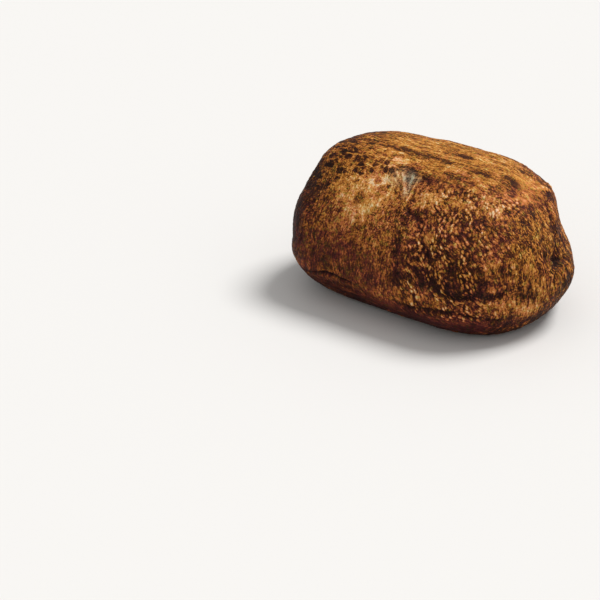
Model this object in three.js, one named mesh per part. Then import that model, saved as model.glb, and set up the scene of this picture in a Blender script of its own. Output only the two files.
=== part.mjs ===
// A whole boneless turkey breast, seasoned and roasted in a knitted net. It is one solid piece of meat.
// Millimetres, +Z up. X runs along the breast and -Y is its show side. The origin is on the surface
// that the breast rests on, under the middle of its length and width.
import * as THREE from "three";
import { mergeVertices } from "three/addons/utils/BufferGeometryUtils.js";

// Driving dimensions.
const LENGTH = 250;
const WIDTH = 165;
const HEIGHT = 127;
const SETTLED = 4; // how much of the underside its own weight has pressed flat
const ROUNDING = 10; // how tightly one broad face turns into the next: higher is crisper
const SKIN_DETAIL = 18; // how many times each side of the icosahedron under the skin is divided

// The skin before it is brought to size is given in millimetres from a core in the middle of the meat.
// A heading turns from +X, the right end, towards +Y, the back. A climb rises from level. Both in degrees.

// Broad faces that the tight net pressed on the meat, each at its reach from the core.
const FACES = [
  { name: "right end", heading: 0, climb: 2, reach: 143 },
  { name: "right end, upper", heading: 5, climb: 40, reach: 104 },
  { name: "right end, tucked under", heading: 0, climb: -38, reach: 113 },
  { name: "left end", heading: 180, climb: 6, reach: 131 },
  { name: "left end, upper", heading: 185, climb: 38, reach: 132 },
  { name: "left end, tucked under", heading: 180, climb: -38, reach: 120 },
  { name: "front side", heading: -90, climb: 16, reach: 79 },
  { name: "front shoulder", heading: -88, climb: 50, reach: 67 },
  { name: "front, tucked under", heading: -90, climb: -40, reach: 78 },
  { name: "back side", heading: 90, climb: 12, reach: 82 },
  { name: "back shoulder", heading: 92, climb: 50, reach: 92 },
  { name: "back, tucked under", heading: 90, climb: -38, reach: 74 },
  { name: "front right corner", heading: -42, climb: 8, reach: 107 },
  { name: "front left corner", heading: -138, climb: 14, reach: 125 },
  { name: "back right corner", heading: 40, climb: 4, reach: 116 },
  { name: "back left corner", heading: 140, climb: 10, reach: 112 },
  { name: "front right corner, tucked under", heading: -45, climb: -36, reach: 108 },
  { name: "front left corner, tucked under", heading: -135, climb: -36, reach: 118 },
  { name: "back right corner, tucked under", heading: 45, climb: -36, reach: 125 },
  { name: "back left corner, tucked under", heading: 135, climb: -36, reach: 98 },
  { name: "top", heading: 0, climb: 90, reach: 77 },
  { name: "underside", heading: 0, climb: -90, reach: 54 },
];

// Soft swells (positive height) and hollows (negative) of the muscle, fading over their spread.
const SWELLS = [
  { name: "low bulge of the right end", heading: 32, climb: -10, height: 3, spread: 26 },
  { name: "hollow over that bulge", heading: 32, climb: 14, height: -6, spread: 24 },
  { name: "lip low on the front", heading: -60, climb: -17, height: 3, spread: 22 },
  { name: "lip low on the front right", heading: -30, climb: -16, height: 3, spread: 24 },
  { name: "swell right of the seam", heading: -50, climb: 32, height: 3, spread: 30 },
  { name: "swell left of the seam", heading: -128, climb: 34, height: 2, spread: 26 },
  { name: "hollow in the lower left", heading: -118, climb: -2, height: -2, spread: 26 },
  { name: "tied pucker of the right end", heading: 5, climb: 7, height: -5, spread: 11 },
  { name: "tied pucker of the left end", heading: 178, climb: 8, height: -5, spread: 11 },
];

// Creases where two muscles meet or the net cut in. Each runs over the skin between two directions.
const CREASES = [
  {
    name: "seam from the top down the front",
    from: { heading: -125, climb: 70 },
    to: { heading: -66, climb: 4 },
    depth: 2,
    width: 15,
  },
  {
    name: "fold low on the front",
    from: { heading: -72, climb: -6 },
    to: { heading: -18, climb: -5 },
    depth: 3,
    width: 11,
  },
  {
    name: "fold low on the left front",
    from: { heading: -150, climb: -12 },
    to: { heading: -105, climb: -20 },
    depth: 2,
    width: 11,
  },
  {
    name: "seam along the back",
    from: { heading: 145, climb: -2 },
    to: { heading: 42, climb: -8 },
    depth: 3,
    width: 12,
  },
];

// A unit vector along a heading and a climb.
function towards({ heading, climb }) {
  const turn = THREE.MathUtils.degToRad(heading);
  const rise = THREE.MathUtils.degToRad(climb);
  return new THREE.Vector3(
    Math.cos(rise) * Math.cos(turn),
    Math.cos(rise) * Math.sin(turn),
    Math.sin(rise),
  );
}

// How far the net lets the meat reach along a direction: the faces cut each other with round edges.
function netReach(direction) {
  let sum = 0;
  for (const face of FACES) {
    const share = direction.dot(towards(face)) / face.reach;
    if (share > 0) sum += share ** ROUNDING;
  }
  return sum ** (-1 / ROUNDING);
}

// What a swell adds at a point of the netted skin.
function swellAt(point, swell) {
  const outward = towards(swell);
  const middle = outward.multiplyScalar(netReach(outward));
  const away = point.distanceTo(middle) / swell.spread;
  return swell.height * Math.exp(-away * away);
}

// How deep a crease is at a point. It lies in the plane of its two directions and fades at its ends.
function creaseAt(point, crease) {
  const from = towards(crease.from);
  const to = towards(crease.to);
  const middle = from.clone().add(to).normalize();
  const across = from.clone().cross(to).normalize();
  const along = across.clone().cross(middle);
  const turn = Math.atan2(point.dot(along), point.dot(middle));
  const off = point.dot(across) / (crease.width / 2);
  const out = turn / (from.angleTo(to) / 2);
  return crease.depth * Math.exp(-off * off - out ** 4);
}

// A point of the skin along a direction from the core.
function skinPoint(direction) {
  const netted = direction.clone().multiplyScalar(netReach(direction));
  let rise = 0;
  for (const swell of SWELLS) rise += swellAt(netted, swell);
  for (const crease of CREASES) rise -= creaseAt(netted, crease);
  return netted.addScaledVector(direction, rise);
}

// The closed skin about the core, from an icosahedron stretched like the breast to even out its faces.
function skin() {
  const ball = new THREE.IcosahedronGeometry(1, SKIN_DETAIL);
  ball.deleteAttribute("normal");
  ball.deleteAttribute("uv");
  const geometry = mergeVertices(ball);
  const places = geometry.getAttribute("position");
  const stretch = new THREE.Vector3(LENGTH, WIDTH, HEIGHT);
  for (let i = 0; i < places.count; i++) {
    const direction = new THREE.Vector3().fromBufferAttribute(places, i);
    direction.multiply(stretch).normalize();
    places.setXYZ(i, ...skinPoint(direction));
  }
  return geometry;
}

// Presses the lowest part flat, brings the mesh to the driving dimensions and stands it on the origin.
function rested(geometry) {
  geometry.computeBoundingBox();
  const floor = geometry.boundingBox.min.z + SETTLED;
  const places = geometry.getAttribute("position");
  for (let i = 0; i < places.count; i++) {
    places.setZ(i, Math.max(places.getZ(i), floor));
  }
  geometry.computeBoundingBox();
  const middle = geometry.boundingBox.getCenter(new THREE.Vector3());
  const size = geometry.boundingBox.getSize(new THREE.Vector3());
  geometry.translate(-middle.x, -middle.y, -floor);
  geometry.scale(LENGTH / size.x, WIDTH / size.y, HEIGHT / size.z);
  geometry.computeVertexNormals();
  return geometry;
}

function turkeyBreast() {
  const browned = new THREE.MeshStandardMaterial({ color: 0x8a5426, roughness: 0.5, metalness: 0 });
  const breast = new THREE.Mesh(rested(skin()), browned);
  breast.name = "turkey_breast";
  return breast;
}

const model = new THREE.Group();
model.add(turkeyBreast());
export default model;
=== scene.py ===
"""The looks of a whole boneless turkey breast, roasted brown in a knitted net.

It is laid out as an add-on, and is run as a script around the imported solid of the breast.
"""

import math

import bpy
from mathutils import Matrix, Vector
from mathutils.bvhtree import BVHTree


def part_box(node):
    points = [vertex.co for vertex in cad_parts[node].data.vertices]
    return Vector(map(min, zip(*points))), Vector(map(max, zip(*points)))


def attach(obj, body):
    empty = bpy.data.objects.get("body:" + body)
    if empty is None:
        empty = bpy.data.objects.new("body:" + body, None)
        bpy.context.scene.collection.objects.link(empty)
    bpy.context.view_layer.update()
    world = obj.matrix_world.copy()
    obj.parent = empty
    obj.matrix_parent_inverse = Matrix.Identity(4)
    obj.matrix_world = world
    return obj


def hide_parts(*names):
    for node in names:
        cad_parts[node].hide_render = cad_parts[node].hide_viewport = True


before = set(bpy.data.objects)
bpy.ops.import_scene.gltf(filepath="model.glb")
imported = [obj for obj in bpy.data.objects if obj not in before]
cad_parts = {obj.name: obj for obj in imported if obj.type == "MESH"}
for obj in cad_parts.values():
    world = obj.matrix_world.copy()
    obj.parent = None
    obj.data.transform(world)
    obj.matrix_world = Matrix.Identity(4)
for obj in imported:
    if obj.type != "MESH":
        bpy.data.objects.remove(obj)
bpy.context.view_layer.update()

bl_info = {
    "name": "Roast Turkey Breast",
    "version": (1, 0, 0),
    "blender": (4, 5, 0),
    "location": "View3D > Sidebar > Turkey Breast",
    "description": "Builds the net-marked skin of a roast turkey breast, and its stage",
    "category": "Object",
}

NODE = "turkey_breast"
PIECE = "turkey_breast_skin"

MM = 0.001
CORE_HEIGHT = 54 * MM  # the middle of the meat, which every part of the skin faces away from
AIM_HEIGHT = 55 * MM  # the height on the breast that the camera's place is worked out from
FLOOR_REACH = 6.0  # metres from the breast to each edge of the floor

# The kinds of node used most, and the setting that eases a range in and out.
MATH = "ShaderNodeMath"
VECTOR = "ShaderNodeVectorMath"
RANGE = "ShaderNodeMapRange"
SOFT = {"interpolation_type": "SMOOTHSTEP"}

# Names of the values that the relief leaves on the mesh for the material to read.
REST = "rest_mm"  # where a point lay before it got its relief, in millimetres
LAY = "grain_lay"  # shares of slanting, upright and lengthwise grain
BROWNING_AND_SHADE = "browning_and_shade"  # how light or dark a place roasted, with painted shade and highlights, 0 being middling
TINT = "tint"  # shares of sinew, scorch speckle and russet, which is below 0 on more golden skin
EVEN = "evenness"  # how much the finer browning is evened out, 1 being flat
HOLLOW = "hollow_mm"  # how deep a point lies below the skin around it

# How the net's prints lie. Each has its slope down towards the right end in degrees, the size of
# one print and of one row of them in millimetres (along the grain, front to back, and across the
# grain), how much height is left between the rows, how deep it is pressed into the skin in
# millimetres, and how strongly its grains, its fibres and its long runs show in the browning.
GRAINS = (
    {"name": "slanting", "slope": 48, "print": (4.4, 4.4, 2.1), "row": (26, 12, 5.2),
     "between": 0.25, "depth": 0.9, "grains": 0.52, "fibres": 0.14, "runs": 0.10},
    {"name": "upright", "slope": 86, "print": (6.0, 6.0, 1.6), "row": (24, 24, 5.0),
     "between": 0.4, "depth": 0.5, "grains": 0.18, "fibres": 0.22, "runs": 0.12},
    {"name": "lengthwise", "slope": -4, "print": (11, 1.7, 1.7), "row": (34, 5.5, 5.5),
     "between": 0.35, "depth": 0.5, "grains": 0.20, "fibres": 0.20, "runs": 0.20},
    {"name": "round the end", "slope": 90, "print": (6.5, 1.7, 6.5), "row": (24, 5.0, 24),
     "between": 0.4, "depth": 0.5, "grains": 0.20, "fibres": 0.26, "runs": 0.18},
)

# Places that roasted unlike the rest, some of them painted shade or painted highlights as marked
# below: the name of each, where it is on the skin, how far it reaches along X, Y and Z, both in
# millimetres, and how much lighter (positive) or darker it is.
PATCHES = (
    ("pale patch on the left shoulder", (-45, -46, 102), (34, 22, 20), 0.27),
    ("golden ground between the speckles", (-62, -16, 119), (56, 24, 18), 0.10),
    ("dark oval in it", (-47, -51, 98), (6, 7, 7.5), -0.32),
    ("orange spot by the sinew", (-31, -31, 113), (7, 6, 6), 0.14),
    # Browning and a painted highlight: the right shoulder, facing the key light, is lightened.
    ("brightest browning and painted highlight, right shoulder", (60, -24, 112), (30, 26, 22), 0.10),
    ("peach patch by the right end", (82, 26, 115), (16, 16, 12), 0.17),
    ("peach patch below it", (83, 4, 112), (11, 9, 9), 0.20),
    ("dark spot beside it", (68, 10, 122), (12, 6, 9), -0.25),
    ("dark sliver at the end's edge", (89, 38, 101), (5, 6, 7), -0.26),
    # Painted shade: darker low on the left.
    ("shaded patch low on the left", (-53, -80, 48), (14, 12, 14), -0.08),
    ("dull band right of the left lobe", (22, -72, 70), (11, 10, 10), -0.08),
    ("dull band below the left lobe", (-8, -82, 42), (18, 10, 9), -0.08),
    ("dull right end of the fold", (98, -45, 66), (12, 12, 12), -0.04),
    ("golden ground low on the right end", (120, -17, 50), (8, 14, 12), 0.12),
    ("golden edge under the speckles", (-38, -34, 111), (9, 8, 7), 0.26),
    ("golden ground right of the sinew", (14, -37, 107), (15, 9, 9), 0.22),
    ("mahogany grains below the shoulder", (45, -38, 107), (9, 8, 8), -0.14),
    # Painted shade: the right end's heel and the edge above its pucker are darkened.
    ("dull heel of the right end", (123, 12, 36), (12, 22, 14), -0.16),
    ("dull edge above the pucker", (113, 38, 66), (10, 16, 16), -0.10),
    ("dull left end of the top", (-80, 16, 120), (36, 44, 14), -0.08),
    ("golden strip above the flash", (27, -51, 96), (7, 7, 7), 0.14),
    ("dull corner by the peach patch", (88, 24, 104), (9, 12, 8), -0.10),
    ("golden ground in the middle", (38, -33, 110), (24, 12, 11), 0.12),
    ("golden ground over the sinew", (-34, -8, 124), (11, 8, 6), 0.20),
    ("golden edge of the top", (26, -3, 124), (18, 6, 6), 0.08),
    ("golden foot of the pale patch", (-44, -61, 88), (13, 9, 10), 0.16),
    # Painted highlight: pale glints on the grains of the right shoulder.
    ("peach grains on the right shoulder", (70, -25, 111), (14, 9, 9), 0.14),
    ("mahogany grains above them", (61, -11, 120), (8, 7, 6), -0.20),
    ("mahogany grains by the dark spot", (75, 1, 118), (8, 7, 7), -0.16),
    ("duller grains by the corner", (98, -31, 92), (15, 13, 12), -0.08),
    ("golden grains above the fold", (88, -57, 74), (10, 9, 8), 0.18),
    ("mahogany grains in the middle", (55, -59, 88), (9, 9, 9), -0.08),
    ("mahogany band over the fold", (70, -71, 58), (24, 14, 7), -0.14),
    ("golden end of the lip", (114, -28, 28), (10, 13, 10), 0.24),
    ("golden grains low on the corner", (111, -27, 70), (8, 10, 12), 0.14),
    ("dull edge of the left shoulder", (-82, -54, 92), (14, 12, 13), -0.10),
    ("dark place right of the sinew", (2, -20, 119), (11, 6, 7), -0.18),
    ("dark line above the sinew", (-19, -18, 120), (13, 4, 5), -0.20),
    ("long streak on the top", (-30, 3, 126), (24, 5, 8), -0.18),
    ("second long streak on the top", (0, 3, 127), (18, 5, 8), -0.20),
    ("dark streak on the top", (16, 20, 127), (12, 4, 8), -0.26),
    ("scorched streak on the top", (40, 2, 125), (12, 5, 8), -0.20),
    ("golden top", (-5, 25, 127), (105, 46, 16), 0.10),
    ("dark place under the sinew", (0, -50, 95), (9, 8, 10), -0.08),
    ("dark band by the left lobe", (4, -72, 71), (6, 10, 13), -0.14),
    ("dark blotch below it", (11, -81, 52), (7, 8, 7), -0.18),
    ("dark place low in the middle", (39, -78, 56), (13, 10, 9), -0.14),
    ("orange flash beside the seam", (30, -61, 87), (5, 6, 9), 0.2),
    ("mahogany lower front", (62, -74, 62), (46, 26, 22), -0.06),
    # Painted shade: the fold is darkened.
    ("darkest fold", (72, -70, 49), (38, 26, 5), -0.18),
    ("golden lip", (96, -52, 38), (30, 24, 7), 0.10),
    ("brightest part of the lip", (112, -33, 33), (10, 14, 7), 0.16),
    ("golden lip, left part", (40, -81, 37), (32, 20, 10), 0.09),
    ("duller right end", (118, 0, 52), (22, 60, 50), -0.08),
    # Painted shade: the lower left and the left end, turned from the key light, are darkened.
    ("dull lower left", (-48, -78, 46), (60, 30, 24), -0.10),
    ("shadowed left end", (-112, -40, 68), (26, 50, 44), -0.24),
    ("golden right corner", (105, 6, 88), (9, 9, 30), 0.08),
    # Painted shade: the hollow of the right end and the puckers at both ends are darkened.
    ("brown hollow of the right end", (106, 27, 80), (10, 14, 12), -0.16),
    ("dark pucker of the right end", (117, 4, 63), (9, 8, 7), -0.28),
    ("dark pucker of the left end", (-121, 4, 70), (12, 13, 10), -0.12),
    ("dark grains on the back", (62, 70, 88), (24, 20, 16), -0.10),
    ("dull low band on the back", (-20, 80, 30), (90, 24, 12), -0.10),
    ("pale patch on the back", (-30, 80, 88), (44, 20, 24), 0.16),
    ("brown ground over the pale patch", (-54, -30, 113), (8, 6, 6), -0.14),
    ("brown edge of the peach patch", (93, 5, 104), (6, 7, 7), -0.12),
    ("dark end of the band over the fold", (100, -50, 57), (8, 8, 5), -0.16),
    ("dark run on the back", (40, 80, 62), (40, 22, 14), -0.18),
)

# Folds in the skin: how far the sides of each reach, how deep it is, both in millimetres, how much
# darker its painted shade is inside, and the points on the skin that it runs through, in
# millimetres. Threads of sinew and ridges stand out instead, and are paler: the sinew in its own
# colour, the ridges with a painted highlight.
FOLDS = (
    {"name": "fold over the lip", "reach": 5.5, "depth": 1.3, "tone": -0.16,
     "through": ((60, -79, 48), (74, -74, 47), (87, -65, 47), (94, -58, 48), (99, -53, 50))},
    {"name": "right end of the fold", "reach": 3.0, "depth": 0.8, "tone": -0.08,
     "through": ((99, -53, 50), (105, -46, 49), (110, -39, 46), (115, -30, 42))},
    {"name": "crease under the lip", "reach": 3.6, "depth": 1.6, "tone": -0.24,
     "through": ((21, -81, 27), (47, -82, 32), (66, -76, 33), (79, -70, 30), (89, -64, 27),
                 (98, -54, 24))},
    {"name": "crease low on the left", "reach": 2.6, "depth": 2.2, "tone": -0.26,
     "through": ((-92, -69, 26), (-73, -78, 31), (-59, -80, 34), (-50, -80, 34), (-36, -80, 31))},
    {"name": "seam below the sinew", "reach": 4.0, "depth": 0.9, "tone": -0.13,
     "through": ((-3, -44, 101), (2, -47, 97), (8, -48, 96), (16, -51, 94), (21, -56, 91),
                 (24, -60, 87), (27, -66, 80), (38, -70, 74))},
    {"name": "edge of the left lobe", "reach": 7.0, "depth": 0.9, "tone": -0.12,
     "through": ((2, -50, 95), (2, -66, 80), (3, -72, 71), (8, -76, 63), (10, -80, 53),
                 (14, -82, 47))},
    {"name": "furrow into the right pucker", "reach": 5.0, "depth": 1.2, "tone": -0.12,
     "through": ((93, 26, 100), (101, 23, 91), (109, 17, 80), (113, 9, 70), (117, 4, 63))},
    {"name": "crease low on the back", "reach": 3.4, "depth": 1.6, "tone": -0.22,
     "through": ((-72, 70, 30), (-34, 80, 26), (12, 82, 31), (52, 76, 28))},
    {"name": "seam down the back", "reach": 6.0, "depth": 1.2, "tone": -0.14,
     "through": ((-14, 52, 116), (-4, 70, 96), (2, 82, 68), (-6, 82, 44))},
    {"name": "left thread of sinew", "reach": 1.8, "depth": -0.5, "tone": 0.36,
     "through": ((-32, -18, 120), (-21, -27, 115), (-11, -34, 109), (-5, -40, 104))},
    {"name": "second thread of sinew", "reach": 1.6, "depth": -0.4, "tone": 0.30,
     "through": ((-25, -19, 119), (-15, -28, 113), (-8, -35, 108))},
    {"name": "right thread of sinew", "reach": 1.8, "depth": -0.5, "tone": 0.36,
     "through": ((-4, -19, 118), (-5, -28, 112), (-4, -39, 104))},
    {"name": "ridge over the right shoulder", "reach": 2.4, "depth": -0.7, "tone": 0.18,
     "through": ((38, -3, 125), (50, -11, 121), (63, -19, 117), (79, -28, 108), (88, -36, 98))},
    {"name": "ridge in the middle", "reach": 2.0, "depth": -0.5, "tone": 0.16,
     "through": ((22, -35, 109), (28, -38, 107), (36, -42, 104), (45, -47, 100))},
    {"name": "ridge on the lip", "reach": 1.6, "depth": -0.4, "tone": 0.18,
     "through": ((19, -82, 38), (30, -82, 35))},
    {"name": "ridge over the fold", "reach": 1.6, "depth": -0.4, "tone": 0.14,
     "through": ((88, -60, 64), (98, -52, 63))},
)

# Broad swells and dips of the meat that give the outline its corners: the name of each, where it
# is, how far it reaches and how high it stands, all in millimetres.
SWELLS = (
    ("left shoulder's edge", (-105, -60, 75), (22, 26, 22), 1.8),
    ("slope above it", (-100, -44, 100), (20, 20, 14), -2.0),
    ("left top corner", (-98, -14, 117), (22, 22, 16), 1.4),
    ("lower left corner", (-92, -74, 32), (30, 28, 24), 2.0),
    ("tuck under the left side", (-50, -74, 16), (32, 20, 14), -1.2),
    ("upper right corner", (91, 44, 98), (20, 24, 20), 1.9),
    ("slope down to it", (69, 46, 118), (20, 24, 16), -1.7),
    ("waist of the right end", (110, 32, 72), (14, 20, 10), -1.2),
    ("heel of the right end", (124, 20, 45), (16, 30, 18), 1.9),
    ("tuck under the lip", (96, -54, 16), (30, 30, 14), -1.6),
    ("crest of the top", (17, 50, 122), (50, 26, 14), 0.9),
    ("left dip in the back", (-46, 84, 66), (34, 26, 50), -2.4),
    ("right dip in the back", (52, 84, 58), (32, 26, 46), -2.2),
    ("pucker of the right end", (117, 4, 63), (9, 9, 8), -2.2),
    ("pucker of the left end", (-121, 4, 70), (16, 16, 14), -2.0),
)

# Places with a colour or spotting of their own: the name of each, where it is, how far it reaches,
# and its shares of sinew, scorch speckle and russet. A russet below 0 is more golden.
TINTS = (
    ("sinew over the seam", (-12, -23, 116), (7.5, 7, 7), (0.8, 0, 0)),
    ("tail of the sinew", (-9, -34, 109), (4, 9, 8), (0.5, 0, 0)),
    ("sinew threads", (-19, -25, 116), (17, 13, 11), (0.35, 0, 0)),
    ("speckled left shoulder", (-64, -20, 117), (60, 26, 22), (0, 1, 0)),
    ("speckled edge of the left shoulder", (-92, -34, 105), (26, 22, 16), (0, 0.7, 0)),
    ("peach edge under the speckles", (-40, -32, 112), (11, 9, 8), (0, 0, 0.25)),
    ("olive left shoulder", (-78, -28, 108), (70, 44, 34), (0, 0, -0.35)),
    ("golden right end", (114, 0, 66), (24, 60, 60), (0, 0, -0.35)),
    ("russet low on the back", (0, 74, 18), (110, 24, 18), (0, 0, 0.5)),
    ("dotted pale patch", (-45, -46, 102), (40, 24, 24), (0, 0.35, 0)),
    ("russet under the lip", (46, -72, 16), (80, 24, 12), (0, 0, 0.8)),
    ("russet lower left", (-62, -74, 42), (76, 34, 38), (0, 0, 0.2)),
    ("tan top", (0, 25, 127), (110, 46, 14), (0, 0, -0.5)),
    ("speckled back shoulder", (30, 66, 110), (50, 30, 16), (0, 0.7, 0)),
)

# Places that browned more evenly than the rest, the last number being how much more.
EVEN_PLACES = (
    ("pale patch on the left shoulder", (-45, -46, 102), (36, 24, 22), 0.12),
    ("steamed lower left", (-62, -74, 42), (80, 36, 44), 0.36),
    ("steamed rim under the lip", (46, -72, 16), (80, 24, 12), 0.55),
    ("orange flash beside the seam", (30, -61, 87), (6, 6, 9), 0.25),
    ("steamed low on the back", (0, 74, 20), (110, 26, 22), 0.35),
    ("peach patches by the right end", (80, 18, 114), (18, 26, 14), 0.35),
    ("basted top", (-5, 25, 127), (110, 46, 16), 0.15),
)

PATCH_EDGE = (0.45, 1.25)  # shares of a patch's reach: where it starts to fade, and where it ends
WRINKLES = 9.0  # in a full turn around each end's pucker
SINEW_THREADS = 30.0  # in a full turn around the sinew's root
SINEW_ROOT = (-5, -44, 101)  # the point that the threads fan out from, in millimetres
SPECKLE_SPACING = 7.5  # millimetres from the middle of one scorched speckle to the next
FACET_BLUR = 4  # steps over neighbouring points that even out what is left of the solid's facets
HOLLOW_BLUR = 40  # steps that give the level of the skin around a point


def linear(hex_colour):
    """An sRGB hex colour as linear red, green, blue and alpha."""
    parts = [int(hex_colour[i : i + 2], 16) / 255 for i in (1, 3, 5)]
    return [c / 12.92 if c <= 0.04045 else ((c + 0.055) / 1.055) ** 2.4 for c in parts] + [1.0]


def add(tree, kind, inputs=(), out=0, **settings):
    """Adds a node with its settings, sets or links its inputs, and returns one of its outputs.

    Inputs are a tuple or list in the node's own order, or a dictionary by name.
    """
    node = tree.nodes.new(kind)
    for name, value in settings.items():
        setattr(node, name, value)
    sockets = [socket for socket in node.inputs if socket.enabled]
    if isinstance(inputs, dict):
        by_name = {socket.name: socket for socket in reversed(sockets)}
        pairs = [(by_name[name], value) for name, value in inputs.items()]
    else:
        pairs = list(zip(sockets, inputs))
    for socket, value in pairs:
        if isinstance(value, bpy.types.NodeSocket):
            tree.links.new(value, socket)
        elif value is not None:
            socket.default_value = value
    outputs = [socket for socket in node.outputs if socket.enabled]
    return outputs[out] if outputs else node


def centred_noise(tree, place, size, detail=2.0, seed=0.0):
    """Noise between -1 and 1 whose lumps are about size millimetres across."""
    shifted = add(tree, VECTOR, (place, (seed, -seed, 2 * seed)), operation="ADD")
    noise = add(tree, "ShaderNodeTexNoise",
                {"Vector": shifted, "Scale": 1 / size, "Detail": detail})
    return add(tree, RANGE, (noise, 0.25, 0.75, -1.0, 1.0))


def wandering(tree, place, size, distance):
    """The place, pushed about by up to distance millimetres so that nothing runs straight."""
    noise = add(tree, "ShaderNodeTexNoise",
                {"Vector": place, "Scale": 1 / size, "Detail": 1.0}, out=1)
    centred = add(tree, VECTOR, (noise, (0.5, 0.5, 0.5)), operation="SUBTRACT")
    pushed = add(tree, VECTOR, (centred, (4 * distance,) * 3), operation="MULTIPLY")
    return add(tree, VECTOR, (place, pushed), operation="ADD")


def grain_places(tree, rest):
    """Where the net's prints lie, swayed as its strands pull and frayed from grain to grain."""
    return wandering(tree, wandering(tree, rest, 22, 2.5), 3.5, 0.4)


def laid(tree, place, slope):
    """The place turned so that X runs along a grain that slopes down towards the right end."""
    return add(tree, "ShaderNodeVectorRotate", {"Vector": place, "Angle": math.radians(-slope)},
               rotation_type="Y_AXIS")


def prints(tree, place, grain):
    """One lay of the net's prints: how raised each point is, 0 to 1, and a colour for each print.

    The prints are short grains, and long furrows between the net's strands part them into rows.
    Each of the two has a size, how far from its middle its gap and its crown lie as shares of that
    size, and how high its gap is.
    """
    along = laid(tree, place, grain["slope"])
    heights, colours = [], []
    for size, gap, crown, gap_height in (
        (grain["print"], 0.70, 0.18, 0.0), (grain["row"], 0.62, 0.36, grain["between"])
    ):
        cells = add(tree, VECTOR, (along, size), operation="DIVIDE")
        away = add(tree, "ShaderNodeTexVoronoi",
                   {"Vector": cells, "Scale": 1.0, "Randomness": 0.95})
        heights.append(add(tree, RANGE, (away, gap, crown, gap_height, 1.0), **SOFT))
        colours.append(away.node.outputs["Color"])
    return add(tree, MATH, heights, operation="MULTIPLY"), colours[0]


def by_lay(tree, lay, values):
    """The values of the four lays, weighed by how much of each grain a place has."""
    shares = list(add(tree, "ShaderNodeSeparateXYZ", (lay,)).node.outputs)
    others = add(tree, VECTOR, (lay, (1, 1, 1)), operation="DOT_PRODUCT", out=0)
    shares.append(add(tree, MATH, (1.0, others), operation="SUBTRACT"))
    total = None
    for share, value in zip(shares, values):
        part = add(tree, MATH, (share, value), operation="MULTIPLY")
        total = part if total is None else add(tree, MATH, (total, part), operation="ADD")
    return total


def nearness(tree, place, at, reach, wobble):
    """1 in the middle of a patch, falling to 0 past its uneven edge."""
    off = add(tree, VECTOR, (place, at), operation="SUBTRACT")
    share = add(tree, VECTOR, (off, reach), operation="DIVIDE")
    away = add(tree, VECTOR, (share,), operation="LENGTH")
    uneven = add(tree, MATH, (away, wobble), operation="ADD")
    return add(tree, RANGE, (uneven, *PATCH_EDGE, 1.0, 0.0), **SOFT)


def ramp(tree, factor, stops):
    """A colour ramp from pairs of a place on it and a hex colour."""
    colour = add(tree, "ShaderNodeValToRGB", (factor,))
    elements = colour.node.color_ramp.elements
    while len(elements) < len(stops):
        elements.new(0.5)
    for element, (position, _) in zip(elements, stops):
        element.position = position
    for element, (_, hex_colour) in zip(elements, stops):
        element.color = linear(hex_colour)
    return colour


class TurkeySkinSettings(bpy.types.PropertyGroup):
    """Sizes and finish of the skin."""

    quads_along: bpy.props.IntProperty(
        name="Quads along", description="Quads of the skin along the breast", default=176, min=16
    )
    print_depth: bpy.props.FloatProperty(
        name="Print depth",
        description="How deep the net is printed, as a share of the usual depth",
        default=1.0, min=0.0, subtype="FACTOR",
    )
    lump_height: bpy.props.FloatProperty(
        name="Lump height",
        description="How far the muscle swells and sinks between the net's strands",
        default=0.8 * MM, unit="LENGTH",
    )
    roughness: bpy.props.FloatProperty(
        name="Roughness", description="Roughness of the basted skin", default=0.62, subtype="FACTOR"
    )


class TurkeyStageSettings(bpy.types.PropertyGroup):
    """The floor, the lights and the camera."""

    floor_colour: bpy.props.FloatVectorProperty(
        name="Floor colour", description="Colour of the floor", size=4, subtype="COLOR",
        default=linear("#e6e4e1"),
    )
    key_strength: bpy.props.FloatProperty(
        name="Key light", description="Strength of the key light", default=2.6
    )
    key_spread: bpy.props.FloatProperty(
        name="Key softness", description="How wide the key light looks from the breast",
        default=math.radians(24), subtype="ANGLE",
    )
    sky: bpy.props.FloatProperty(
        name="Sky", description="Strength of the even light all around", default=0.50
    )
    camera_heading: bpy.props.FloatProperty(
        name="Camera heading", description="How far the camera stands round from the show side",
        default=math.radians(35), subtype="ANGLE",
    )
    camera_climb: bpy.props.FloatProperty(
        name="Camera climb", description="How far the camera looks down",
        default=math.radians(28.6), subtype="ANGLE",
    )
    camera_distance: bpy.props.FloatProperty(
        name="Camera distance", description="From the camera to the plane of the breast",
        default=1.75, unit="LENGTH",
    )
    lens: bpy.props.FloatProperty(
        name="Lens", description="Focal length in millimetres", default=120.0, unit="CAMERA"
    )
    aside: bpy.props.FloatProperty(
        name="Right of middle",
        description="How far right of the picture's middle the breast is, in widths",
        default=0.2245, subtype="FACTOR",
    )
    above: bpy.props.FloatProperty(
        name="Above middle",
        description="How far above the picture's middle the breast is, in widths",
        default=0.108, subtype="FACTOR",
    )


# The sides of a box around the breast: the axis it faces, which way, its two edges' axes, and the
# column and row that it takes in the flat layout.
BOX_SIDES = (
    {"faces": 2, "way": 1, "across": 0, "up": 1, "column": 0, "row": 0},
    {"faces": 2, "way": -1, "across": 0, "up": 1, "column": 1, "row": 0},
    {"faces": 1, "way": 1, "across": 0, "up": 2, "column": 0, "row": 1},
    {"faces": 1, "way": -1, "across": 0, "up": 2, "column": 1, "row": 1},
    {"faces": 0, "way": 1, "across": 1, "up": 2, "column": 0, "row": 2},
    {"faces": 0, "way": -1, "across": 1, "up": 2, "column": 1, "row": 2},
)
FOLD_STEPS = 5  # steps from one point of a fold to the next
LAYOUT_GAP = 4  # quads' widths left free between two sides in the flat layout
EVENING = 0.75  # radians: evens the quads out, since those near a box's edges would crowd together


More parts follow.
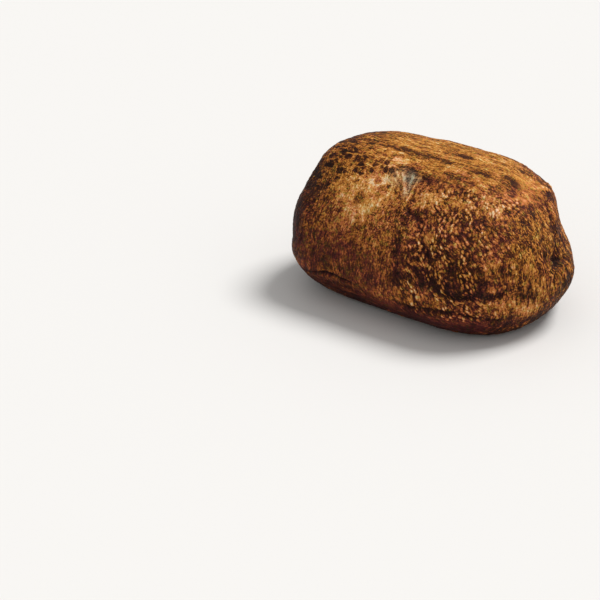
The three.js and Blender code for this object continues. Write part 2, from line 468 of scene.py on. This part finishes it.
def box_skin(counts, size):
    """Points, quads and flat layout of the surface of a box that is centred on the origin."""
    points, index, quads, flat = [], {}, [], []
    width = 2 * counts[0] + 3 * LAYOUT_GAP
    row_starts = (LAYOUT_GAP, 2 * LAYOUT_GAP + counts[1], 3 * LAYOUT_GAP + counts[1] + counts[2])

    def point_at(step):
        if step not in index:
            index[step] = len(points)
            shares = [math.tan(EVENING * (2 * at / count - 1)) / math.tan(EVENING)
                      for at, count in zip(step, counts)]
            points.append(Vector([share * edge / 2 for share, edge in zip(shares, size)]))
        return index[step]

    for side in BOX_SIDES:
        faces, across, up = side["faces"], side["across"], side["up"]
        start_u = LAYOUT_GAP + side["column"] * (counts[across] + LAYOUT_GAP)
        start_v = row_starts[side["row"]]
        turned = (side["way"] > 0) == ((up - across) % 3 == 2)
        for i in range(counts[across]):
            for j in range(counts[up]):
                corners = [(i, j), (i + 1, j), (i + 1, j + 1), (i, j + 1)]
                if turned:
                    corners.reverse()
                quad = []
                for a, b in corners:
                    step = [0, 0, 0]
                    step[faces] = counts[faces] if side["way"] > 0 else 0
                    step[across], step[up] = a, b
                    quad.append(point_at(tuple(step)))
                    flat.append(((start_u + a) / width, (start_v + b) / width))
                quads.append(quad)
    return points, quads, flat


def smooth_cad(node):
    """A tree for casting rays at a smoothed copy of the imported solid, whose facets would show."""
    copy = bpy.data.objects.new("smoothed_solid", node.data.copy())
    bpy.context.scene.collection.objects.link(copy)
    weld = copy.modifiers.new("weld", "WELD")
    weld.merge_threshold = 0.01 * MM
    subdivision = copy.modifiers.new("subdivision", "SUBSURF")
    subdivision.levels = 2
    bpy.context.view_layer.update()
    tree = BVHTree.FromObject(copy, bpy.context.evaluated_depsgraph_get())
    mesh = copy.data
    bpy.data.objects.remove(copy)
    bpy.data.meshes.remove(mesh)
    return tree


def on_skin(solid, core, direction):
    """The point of the smoothed solid that lies in a direction from its core."""
    hit = solid.ray_cast(core, direction.normalized())[0]
    if hit is None:
        raise RuntimeError("the packed solid isn't closed around its core")
    return hit


def fold_line(fold, solid, core):
    """A line over the smoothed solid, in millimetres, that a fold in the skin follows."""
    through = [Vector(point) for point in fold["through"]]
    places = []
    for start, end in zip(through, through[1:]):
        for step in range(FOLD_STEPS):
            towards = start.lerp(end, step / FOLD_STEPS) - core / MM
            places.append(on_skin(solid, core, towards) / MM)
    places.append(on_skin(solid, core, through[-1] - core / MM) / MM)
    mesh = bpy.data.meshes.new("fold_line")
    mesh.from_pydata(places, [(i, i + 1) for i in range(len(places) - 1)], [])
    return bpy.data.objects.new("fold_line", mesh)


def wrapped_skin(solid, core, size, quads_along):
    """A mesh of even quads drawn over the smoothed solid, with its flat layout."""
    counts = [round(quads_along * edge / size.x / 2) * 2 for edge in size]
    points, quads, flat = box_skin(counts, size)
    places = [on_skin(solid, core, point) for point in points]
    mesh = bpy.data.meshes.new(PIECE)
    mesh.from_pydata(places, [], quads)
    layout = mesh.uv_layers.new(name="OFBake")
    for loop, place in zip(layout.data, flat):
        loop.uv = place
    mesh.validate()
    return mesh


def skin_relief(settings, fold_lines):
    """Nodes printing the net and folds into the skin and marking roasting and painted light and
    shade.
    """
    tree = bpy.data.node_groups.new("Turkey skin relief", "GeometryNodeTree")
    tree.interface.new_socket("Geometry", in_out="INPUT", socket_type="NodeSocketGeometry")
    tree.interface.new_socket("Geometry", in_out="OUTPUT", socket_type="NodeSocketGeometry")
    geometry = add(tree, "NodeGroupInput")

    # What is left of the solid's facets is evened out, and the underside kept on the floor.
    position = add(tree, "GeometryNodeInputPosition")
    eased = add(tree, "GeometryNodeBlurAttribute", (position, FACET_BLUR), data_type="FLOAT_VECTOR")
    lifted = add(tree, VECTOR, (eased, (-1.0, -1.0, 0.0)), operation="MAXIMUM")
    geometry = add(tree, "GeometryNodeSetPosition", (geometry, None, lifted))
    in_mm = add(tree, VECTOR, (position, (1 / MM,) * 3), operation="MULTIPLY")
    geometry = add(tree, "GeometryNodeStoreNamedAttribute", (geometry, None, REST, in_mm),
                   data_type="FLOAT_VECTOR", domain="POINT")

    rest = add(tree, "GeometryNodeInputNamedAttribute", (REST,), data_type="FLOAT_VECTOR")
    loose = wandering(tree, rest, 26, 3.5)
    wobble = add(tree, MATH, (centred_noise(tree, rest, 9, 3.0), 0.28), operation="MULTIPLY")

    # How near each point is to each fold's line: 1 on it, falling to 0 where the fold ends. The
    # swelling beside a fold reaches three times as far.
    inside, beside = [], []
    ragged = centred_noise(tree, rest, 6, 3.0, 61)
    gaps = centred_noise(tree, rest, 11, 1.0, 67)
    gapped = add(tree, RANGE, (gaps, -0.9, 0.3, 0.35, 1.0))
    for fold, line in zip(FOLDS, fold_lines):
        path = add(tree, "GeometryNodeObjectInfo", {"Object": line}, out=4)
        away = add(tree, "GeometryNodeProximity", {"Geometry": path, "Sample Position": rest},
                   out=1, target_element="EDGES")
        uneven = add(tree, MATH, (ragged, 0.45 * fold["reach"], away), operation="MULTIPLY_ADD")
        for reach, shares in ((fold["reach"], inside), (3 * fold["reach"], beside)):
            near = add(tree, RANGE, (uneven, 0.0, reach, 1.0, 0.0), **SOFT)
            shares.append(add(tree, MATH, (near, gapped), operation="MULTIPLY"))

    # Which way the grain lies: upright on the left, lengthwise on the top and the underside,
    # slanting to the right of the seam. What is left over is at the two ends, where it runs round
    # them. Each row has where one lay gives way to another, in millimetres along an axis.
    x, _, z = add(tree, "ShaderNodeSeparateXYZ", (loose,)).node.outputs
    left, right, far_left, high, low = (
        add(tree, RANGE, row, **SOFT)
        for row in (
            (x, 2.0, 24.0, 1.0, 0.0),
            (x, 78.0, 98.0, 0.0, 1.0),
            (x, -96.0, -110.0, 0.0, 1.0),
            (z, 112.0, 122.0, 0.0, 1.0),
            (z, 12.0, 26.0, 1.0, 0.0),
        )
    )
    lengthwise = add(tree, MATH, (high, low), operation="MAXIMUM")
    not_lengthwise = add(tree, MATH, (1.0, lengthwise), operation="SUBTRACT")
    ends = add(tree, MATH, (right, far_left), operation="MAXIMUM")
    not_ends = add(tree, MATH, (1.0, ends), operation="SUBTRACT")
    sides = add(tree, MATH, (not_lengthwise, not_ends), operation="MULTIPLY")
    upright = add(tree, MATH, (sides, left), operation="MULTIPLY")
    slanting = add(tree, MATH, (sides, upright), operation="SUBTRACT")
    lay = add(tree, "ShaderNodeCombineXYZ", (slanting, upright, lengthwise))
    geometry = add(tree, "GeometryNodeStoreNamedAttribute", (geometry, None, LAY, lay),
                   data_type="FLOAT_VECTOR", domain="POINT")

    # How light or dark each place roasted, together with the painted shade and highlights below.
    broad = centred_noise(tree, loose, 34, 3.0, 11)
    browning_and_shade = add(tree, MATH, (broad, 0.03), operation="MULTIPLY")
    # Painted shade: the underside and the left end, turned away from the key light, are made darker.
    for axis, begins, full, tone in ((z, 34.0, 8.0, -0.30), (x, -50.0, -115.0, -0.12)):
        painted_shade = add(tree, RANGE, (axis, begins, full, 0.0, tone))
        browning_and_shade = add(tree, MATH, (browning_and_shade, painted_shade), operation="ADD")
    for _, at, reach, tone in PATCHES:
        near = nearness(tree, rest, at, reach, wobble)
        browning_and_shade = add(tree, MATH, (near, tone, browning_and_shade), operation="MULTIPLY_ADD")
    # Painted shade darkens the inside of each fold, and a painted highlight lightens each ridge; the
    # sinew threads are paler in their own colour.
    for fold, near in zip(FOLDS, inside):
        browning_and_shade = add(tree, MATH, (near, fold["tone"], browning_and_shade), operation="MULTIPLY_ADD")
    geometry = add(tree, "GeometryNodeStoreNamedAttribute", (geometry, None, BROWNING_AND_SHADE, browning_and_shade),
                   data_type="FLOAT", domain="POINT")
    tint = (0.0, 0.0, 0.0)
    for _, at, reach, shares in TINTS:
        near = nearness(tree, rest, at, reach, wobble)
        tint = add(tree, VECTOR, (shares, near, tint), operation="MULTIPLY_ADD")
    geometry = add(tree, "GeometryNodeStoreNamedAttribute", (geometry, None, TINT, tint),
                   data_type="FLOAT_VECTOR", domain="POINT")

    evenness = 0.0
    for _, at, reach, share in EVEN_PLACES:
        near = nearness(tree, rest, at, reach, wobble)
        evenness = add(tree, MATH, (near, share, evenness), operation="MULTIPLY_ADD")
    geometry = add(tree, "GeometryNodeStoreNamedAttribute", (geometry, None, EVEN, evenness),
                   data_type="FLOAT", domain="POINT")

    # The relief, in millimetres: the net's prints, lumps of muscle, then the broad swells.
    lay = add(tree, "GeometryNodeInputNamedAttribute", (LAY,), data_type="FLOAT_VECTOR")
    grain_place = grain_places(tree, rest)
    sunk = []
    for grain in GRAINS:
        height, _ = prints(tree, grain_place, grain)
        depth = grain["depth"] * settings.print_depth
        sunk.append(add(tree, MATH, (height, depth, -0.6 * depth), operation="MULTIPLY_ADD"))
    relief = by_lay(tree, lay, sunk)
    lump_mm = settings.lump_height / MM
    for size, share, seed in ((38, 0.6, 3), (15, 0.25, 5)):
        lump = centred_noise(tree, rest, size, 1.0, seed)
        relief = add(tree, MATH, (lump, share * lump_mm, relief), operation="MULTIPLY_ADD")
    for _, at, reach, height in SWELLS:
        near = nearness(tree, rest, at, reach, 0.0)
        relief = add(tree, MATH, (near, height, relief), operation="MULTIPLY_ADD")

    # Each fold sinks in the middle, and the skin beside it swells a little.
    for fold, *shares in zip(FOLDS, inside, beside):
        for share, times in zip(shares, (-1.3, 0.3)):
            height = times * fold["depth"]
            relief = add(tree, MATH, (share, height, relief), operation="MULTIPLY_ADD")

    # Wrinkles gather towards the tied pucker at each end, from where they begin along the breast
    # to where they are at their full depth.
    rx, ry, rz = add(tree, "ShaderNodeSeparateXYZ", (rest,)).node.outputs
    for middle_y, middle_z, begins, full in ((4, 63, 92, 108), (4, 70, -88, -106)):
        off_y = add(tree, MATH, (ry, middle_y), operation="SUBTRACT")
        off_z = add(tree, MATH, (rz, middle_z), operation="SUBTRACT")
        off = add(tree, "ShaderNodeCombineXYZ", (0.0, off_y, off_z))
        away = add(tree, VECTOR, (off,), operation="LENGTH")
        turn = add(tree, MATH, (off_z, off_y), operation="ARCTAN2")
        swerve = add(tree, MATH, (centred_noise(tree, rest, 20, 1.0, 7), 2.2), operation="MULTIPLY")
        phase = add(tree, MATH, (turn, WRINKLES, swerve), operation="MULTIPLY_ADD")
        wave = add(tree, MATH, (phase,), operation="SINE")
        at_end = add(tree, RANGE, (rx, begins, full, 0.0, 1.0))
        inner = add(tree, RANGE, (away, 40.0, 6.0, 0.0, 1.0), **SOFT)
        strength = add(tree, MATH, (at_end, inner), operation="MULTIPLY")
        wrinkle = add(tree, MATH, (wave, 0.9, -0.9), operation="MULTIPLY_ADD")
        relief = add(tree, MATH, (wrinkle, strength, relief), operation="MULTIPLY_ADD")

    # The underside is pressed flat, so the relief fades out towards it.
    free = add(tree, RANGE, (rz, 0.3, 5.0, 0.0, 1.0), **SOFT)
    relief = add(tree, MATH, (relief, free), operation="MULTIPLY")
    metres = add(tree, MATH, (relief, MM), operation="MULTIPLY")
    normal = add(tree, "GeometryNodeInputNormal")
    push = add(tree, VECTOR, (normal, metres), operation="MULTIPLY")
    geometry = add(tree, "GeometryNodeSetPosition", (geometry, None, None, push))

    # How deep each point lies below the skin around it, which the material darkens as painted shade.
    around = add(tree, "GeometryNodeBlurAttribute", (position, HOLLOW_BLUR),
                 data_type="FLOAT_VECTOR")
    above = add(tree, VECTOR, (around, position), operation="SUBTRACT")
    deep = add(tree, VECTOR, (above, normal), operation="DOT_PRODUCT")
    deep_mm = add(tree, MATH, (deep, 1 / MM), operation="MULTIPLY")
    geometry = add(tree, "GeometryNodeStoreNamedAttribute", (geometry, None, HOLLOW, deep_mm),
                   data_type="FLOAT", domain="POINT")
    geometry = add(tree, "GeometryNodeSetShadeSmooth", (geometry,))
    add(tree, "NodeGroupOutput", (geometry,))
    return tree


# Browned skin from its scorched crevices and painted shade to the palest, juiciest grains and
# painted highlights: golden, russet and olive.
# The steps are close together in the middle, since scorched skin flakes off golden skin at an edge.
STEPS = (0.0, 0.28, 0.43, 0.54, 0.72, 0.88, 1.0)
GOLDEN = ("#220e08", "#42200f", "#714016", "#a86627", "#cd8b3c", "#e4b16a", "#f0cf99")
RUSSET = ("#210c0f", "#491d1d", "#763626", "#b05c35", "#d98452", "#f0ac82", "#f7ccae")
OLIVE = ("#171208", "#332a10", "#5b4b18", "#8b772a", "#ad9643", "#cbb973", "#e0d5a0")
MIDDLE_TONE = 0.52  # where on those steps middling browning lies
MIDDLE_HUE = 0.21  # the share of russet in it
HOLLOW_SHADE = -0.28  # painted shade added to the tone in the deepest hollows
SPECKLE_TONE = -0.38  # added in a scorched speckle
THREAD_TONE = 0.28  # added on a thread of sinew


def browned_skin(settings):
    """Roast poultry skin, browned in a knitted net and basted with its own juices.

    Roasting darkens it unevenly from gold to mahogany, and painted shade darkens its hollows,
    puckers, folds, underside, left end and the right end's heel, while painted highlights lighten
    its ridges and right shoulder. The net leaves raised, paler grains with dark gaps between them,
    and the fat and juices on it give small soft highlights.
    """
    material = bpy.data.materials.new("Roast poultry skin, browned in a net and basted")
    material.use_nodes = True
    tree = material.node_tree
    tree.nodes.clear()
    rest = add(tree, "ShaderNodeAttribute", attribute_name=REST, out=1)
    lay = add(tree, "ShaderNodeAttribute", attribute_name=LAY, out=1)
    browning_and_shade = add(tree, "ShaderNodeAttribute", attribute_name=BROWNING_AND_SHADE, out=2)
    hollow = add(tree, "ShaderNodeAttribute", attribute_name=HOLLOW, out=2)
    tint = add(tree, "ShaderNodeAttribute", attribute_name=TINT, out=1)
    sinew, speckle, russet = add(tree, "ShaderNodeSeparateXYZ", (tint,)).node.outputs

    # The same prints as in the relief, with a shade of their own for each grain. Muscle fibre shows
    # as streaks along them: about 0.6 mm wide, drawn at 1 mm so that they show. Runs of browning
    # 5 mm wide lie along them too.
    grain_place = grain_places(tree, rest)
    raised, hues, tones, fibres = [], [], [], []
    for grain in GRAINS:
        height, print_colour = prints(tree, grain_place, grain)
        shade, grain_hue, _ = add(tree, "ShaderNodeSeparateXYZ", (print_colour,)).node.outputs
        raised.append(height)
        hues.append(grain_hue)
        along = laid(tree, grain_place, grain["slope"])
        tone = 0.0
        grains = grain["grains"]
        for value, share, middle in ((height, grains, 0.44), (shade, 0.6 * grains, 0.5)):
            tone = add(tree, MATH, (value, share, tone), operation="MULTIPLY_ADD")
            tone = add(tree, MATH, (tone, share * middle), operation="SUBTRACT")
        for width, stretch, kind in ((1.1, 0.12, "fibres"), (5.0, 0.15, "runs")):
            stretched = add(tree, VECTOR, (along, (stretch, 1.0, 1.0)), operation="MULTIPLY")
            streak = centred_noise(tree, stretched, width, 2.0, 17)
            tone = add(tree, MATH, (streak, grain[kind], tone), operation="MULTIPLY_ADD")
            if kind == "fibres":
                fibres.append(streak)
        tones.append(tone)
    height = by_lay(tree, lay, raised)
    grain_hue = by_lay(tree, lay, hues)
    fibre = by_lay(tree, lay, fibres)
    tone = by_lay(tree, lay, tones)

    pores = centred_noise(tree, rest, 1.6, 4.0, 23)
    flakes = centred_noise(tree, wandering(tree, rest, 5, 1.0), 4.5, 4.0, 31)
    mottle = centred_noise(tree, wandering(tree, rest, 14, 3), 11, 3.0, 29)
    for value, share in ((pores, 0.22), (flakes, 0.14), (mottle, 0.05)):
        tone = add(tree, MATH, (value, share, tone), operation="MULTIPLY_ADD")
    even = add(tree, "ShaderNodeAttribute", attribute_name=EVEN, out=2)
    uneven = add(tree, MATH, (1.0, even), operation="SUBTRACT")
    tone = add(tree, MATH, (tone, uneven, browning_and_shade), operation="MULTIPLY_ADD")
    tone = add(tree, MATH, (tone, MIDDLE_TONE), operation="ADD")
    # Painted shade: the tone darkens in the deepest hollows, where shade falls.
    hollow_shade = add(tree, RANGE, (hollow, 0.1, 1.6, 0.0, HOLLOW_SHADE))
    tone = add(tree, MATH, (tone, hollow_shade), operation="ADD")

    # Scorched speckles of 2 to 8 mm, with ragged edges, where the skin stood closest to the heat.
    spot_place = add(tree, VECTOR, (wandering(tree, rest, 4, 1.2), (1 / SPECKLE_SPACING,) * 3),
                     operation="MULTIPLY")
    spot = add(tree, "ShaderNodeTexVoronoi",
               {"Vector": spot_place, "Scale": 1.0, "Randomness": 1.0})
    spot_number = add(tree, "ShaderNodeSeparateXYZ", (spot.node.outputs["Color"],))
    spot_size = add(tree, RANGE, (spot_number, 0.0, 1.0, 0.10, 0.62))
    spot_edge = add(tree, MATH, (spot_size, spot), operation="SUBTRACT")
    spot_edge = add(tree, MATH, (flakes, 0.13, spot_edge), operation="MULTIPLY_ADD")
    spotted = add(tree, RANGE, (spot_edge, -0.10, 0.14, 0.0, 1.0))
    speckled = add(tree, MATH, (spotted, speckle), operation="MULTIPLY", use_clamp=True)
    tone = add(tree, MATH, (speckled, SPECKLE_TONE, tone), operation="MULTIPLY_ADD")

    # Pale threads of sinew fan out from one point over the seam.
    off = add(tree, VECTOR, (rest, SINEW_ROOT), operation="SUBTRACT")
    off_x, off_y, off_z = add(tree, "ShaderNodeSeparateXYZ", (off,)).node.outputs
    rise = add(tree, MATH, (off_y, off_z), operation="ADD")
    turn = add(tree, MATH, (off_x, rise), operation="ARCTAN2")
    phase = add(tree, MATH, (turn, SINEW_THREADS, mottle), operation="MULTIPLY_ADD")
    wave = add(tree, MATH, (phase,), operation="SINE")
    thread = add(tree, RANGE, (wave, 0.1, 0.9, 0.0, 1.0))
    threads = add(tree, MATH, (thread, sinew), operation="MULTIPLY")
    tone = add(tree, MATH, (threads, THREAD_TONE, tone), operation="MULTIPLY_ADD")

    golden, reddish, olive = (
        ramp(tree, tone, tuple(zip(STEPS, hexes))) for hexes in (GOLDEN, RUSSET, OLIVE)
    )
    # The hue shifts from place to place and from fleck to fleck, whatever its lightness.
    hue = add(tree, MATH, (grain_hue, 0.4, russet), operation="MULTIPLY_ADD")
    for size, share, seed in ((17, 0.35, 41), (2.6, 0.52, 43)):
        noise = centred_noise(tree, rest, size, 2.0, seed)
        hue = add(tree, MATH, (noise, share, hue), operation="MULTIPLY_ADD")
    hue = add(tree, MATH, (hue, MIDDLE_HUE), operation="ADD", use_clamp=True)
    colour = add(tree, "ShaderNodeMix", (hue, golden, reddish), data_type="RGBA")
    greener = add(tree, RANGE, (centred_noise(tree, rest, 3.4, 2.0, 47), 0.15, 0.8, 0.0, 0.62))
    colour = add(tree, "ShaderNodeMix", (greener, colour, olive), data_type="RGBA")
    # Sinew stays a silvery grey that the browning hardly takes on.
    grey = ramp(tree, tone, ((0.2, "#3b342a"), (0.5, "#76705c"), (0.9, "#b8af92")))
    bare = add(tree, MATH, (thread, 0.3, 0.6), operation="MULTIPLY_ADD")
    bare = add(tree, MATH, (bare, sinew), operation="MULTIPLY")
    colour = add(tree, "ShaderNodeMix", (bare, colour, grey), data_type="RGBA")

    gloss = add(tree, MATH, (pores, 0.08, settings.roughness), operation="MULTIPLY_ADD")
    rough = add(tree, MATH, (height, -0.12, gloss), operation="MULTIPLY_ADD", use_clamp=True)

    fine = add(tree, MATH, (fibre, 0.16), operation="MULTIPLY")
    pitted = add(tree, MATH, (pores, 0.12, fine), operation="MULTIPLY_ADD")
    bumps = add(tree, MATH, (height, 0.55, pitted), operation="MULTIPLY_ADD")
    normal = add(tree, "ShaderNodeBump", {"Strength": 1.0, "Distance": 1.0 * MM, "Height": bumps})

    # The IOR is that of rendered fat. The specular level is low, since only some of the skin is wet.
    shader = add(tree, "ShaderNodeBsdfPrincipled",
                 {"Base Color": colour, "Roughness": rough, "IOR": 1.45, "Specular IOR Level": 0.08,
                  "Normal": normal})
    add(tree, "ShaderNodeOutputMaterial", (shader,))
    return material


class TURKEY_OT_skin(bpy.types.Operator):
    """Draws the net-marked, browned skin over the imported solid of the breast"""

    bl_idname = "turkey.skin"
    bl_label = "Browned skin"

    def execute(self, context):
        settings = context.scene.turkey_skin
        low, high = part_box(NODE)
        core = Vector(((low.x + high.x) / 2, (low.y + high.y) / 2, CORE_HEIGHT))
        solid = smooth_cad(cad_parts[NODE])
        mesh = wrapped_skin(solid, core, high - low, settings.quads_along)
        fold_lines = [fold_line(fold, solid, core) for fold in FOLDS]
        draft = bpy.data.objects.new("skin_draft", mesh)
        context.scene.collection.objects.link(draft)
        draft.modifiers.new("relief", "NODES").node_group = skin_relief(settings, fold_lines)
        context.view_layer.update()
        graph = context.evaluated_depsgraph_get()
        finished = bpy.data.meshes.new_from_object(draft.evaluated_get(graph))
        finished.name = PIECE
        for scrap in (draft, *fold_lines):
            drawn = scrap.data
            bpy.data.objects.remove(scrap)
            bpy.data.meshes.remove(drawn)
        skin = bpy.data.objects.new(PIECE, finished)
        context.scene.collection.objects.link(skin)
        finished.materials.clear()
        finished.materials.append(browned_skin(settings))
        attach(skin, "root")
        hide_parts(NODE)
        return {"FINISHED"}


def soft_light(name, towards, spread, strength):
    """Even light from far away, from the side that towards points at, softened by its spread."""
    light = bpy.data.lights.new(name, "SUN")
    light.angle = spread
    light.energy = strength
    lamp = bpy.data.objects.new(name, light)
    lamp.rotation_euler = (-towards).to_track_quat("-Z", "Y").to_euler()
    lamp.location = towards
    bpy.context.scene.collection.objects.link(lamp)


class TURKEY_OT_stage(bpy.types.Operator):
    """Sets up the pale floor, the studio lights and the camera"""

    bl_idname = "turkey.stage"
    bl_label = "Stage"

    def execute(self, context):
        settings = context.scene.turkey_stage
        scene = context.scene
        low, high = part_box(NODE)
        middle = Vector(((low.x + high.x) / 2, (low.y + high.y) / 2, AIM_HEIGHT))

        # The camera: which way it looks, then its place, so that the breast is off the middle.
        heading, climb = settings.camera_heading, settings.camera_climb
        ahead = Vector((-math.sin(heading) * math.cos(climb), math.cos(heading) * math.cos(climb),
                        -math.sin(climb)))
        right = Vector((math.cos(heading), math.sin(heading), 0))
        up = right.cross(ahead)
        lens = bpy.data.cameras.new("camera")
        lens.lens = settings.lens
        lens.sensor_width = 36
        per_width = lens.sensor_width / lens.lens
        aim = ahead + right * settings.aside * per_width + up * settings.above * per_width
        camera = bpy.data.objects.new("camera", lens)
        camera.location = middle - aim * settings.camera_distance
        camera.rotation_euler = ahead.to_track_quat("-Z", "Y").to_euler()
        scene.collection.objects.link(camera)
        scene.camera = camera

        # The key light stands high on the right, a little in front of the breast.
        towards_key = right * 0.55 + up * 1.0 - ahead * 0.2
        soft_light("key", towards_key, settings.key_spread, settings.key_strength)
        world = bpy.data.worlds.new("studio")
        world.use_nodes = True
        sky = world.node_tree.nodes["Background"].inputs
        sky["Color"].default_value = (1, 1, 1, 1)
        sky["Strength"].default_value = settings.sky
        scene.world = world
        scene.view_settings.view_transform = "Standard"

        # A seamless pale floor of matt, uncoated paper, which shows soft shadows and no highlight.
        corners = [(x * FLOOR_REACH, y * FLOOR_REACH, 0)
                   for x, y in ((-1, -1), (1, -1), (1, 1), (-1, 1))]
        mesh = bpy.data.meshes.new("floor")
        mesh.from_pydata(corners, [], [(0, 1, 2, 3)])
        floor = bpy.data.objects.new("floor", mesh)
        scene.collection.objects.link(floor)
        paper = bpy.data.materials.new("Matt studio paper")
        paper.use_nodes = True
        tree = paper.node_tree
        tree.nodes.clear()
        shader = add(tree, "ShaderNodeBsdfPrincipled",
                     {"Base Color": settings.floor_colour, "Roughness": 0.9})
        add(tree, "ShaderNodeOutputMaterial", (shader,))
        mesh.materials.append(paper)
        return {"FINISHED"}


class TURKEY_PT_panel(bpy.types.Panel):
    """Lists the steps and their settings"""

    bl_idname = "TURKEY_PT_panel"
    bl_label = "Turkey Breast"
    bl_space_type = "VIEW_3D"
    bl_region_type = "UI"
    bl_category = "Turkey Breast"

    def draw(self, context):
        for operator, settings in (
            (TURKEY_OT_skin, context.scene.turkey_skin),
            (TURKEY_OT_stage, context.scene.turkey_stage),
        ):
            box = self.layout.box()
            box.operator(operator.bl_idname)
            for name in settings.__annotations__:
                box.prop(settings, name)


CLASSES = (
    TurkeySkinSettings, TurkeyStageSettings, TURKEY_OT_skin, TURKEY_OT_stage, TURKEY_PT_panel
)


def register():
    for cls in CLASSES:
        bpy.utils.register_class(cls)
    bpy.types.Scene.turkey_skin = bpy.props.PointerProperty(type=TurkeySkinSettings)
    bpy.types.Scene.turkey_stage = bpy.props.PointerProperty(type=TurkeyStageSettings)


def unregister():
    del bpy.types.Scene.turkey_stage
    del bpy.types.Scene.turkey_skin
    for cls in reversed(CLASSES):
        bpy.utils.unregister_class(cls)


def main():
    register()
    bpy.ops.turkey.skin()
    bpy.ops.turkey.stage()


if __name__ == "__main__":
    main()
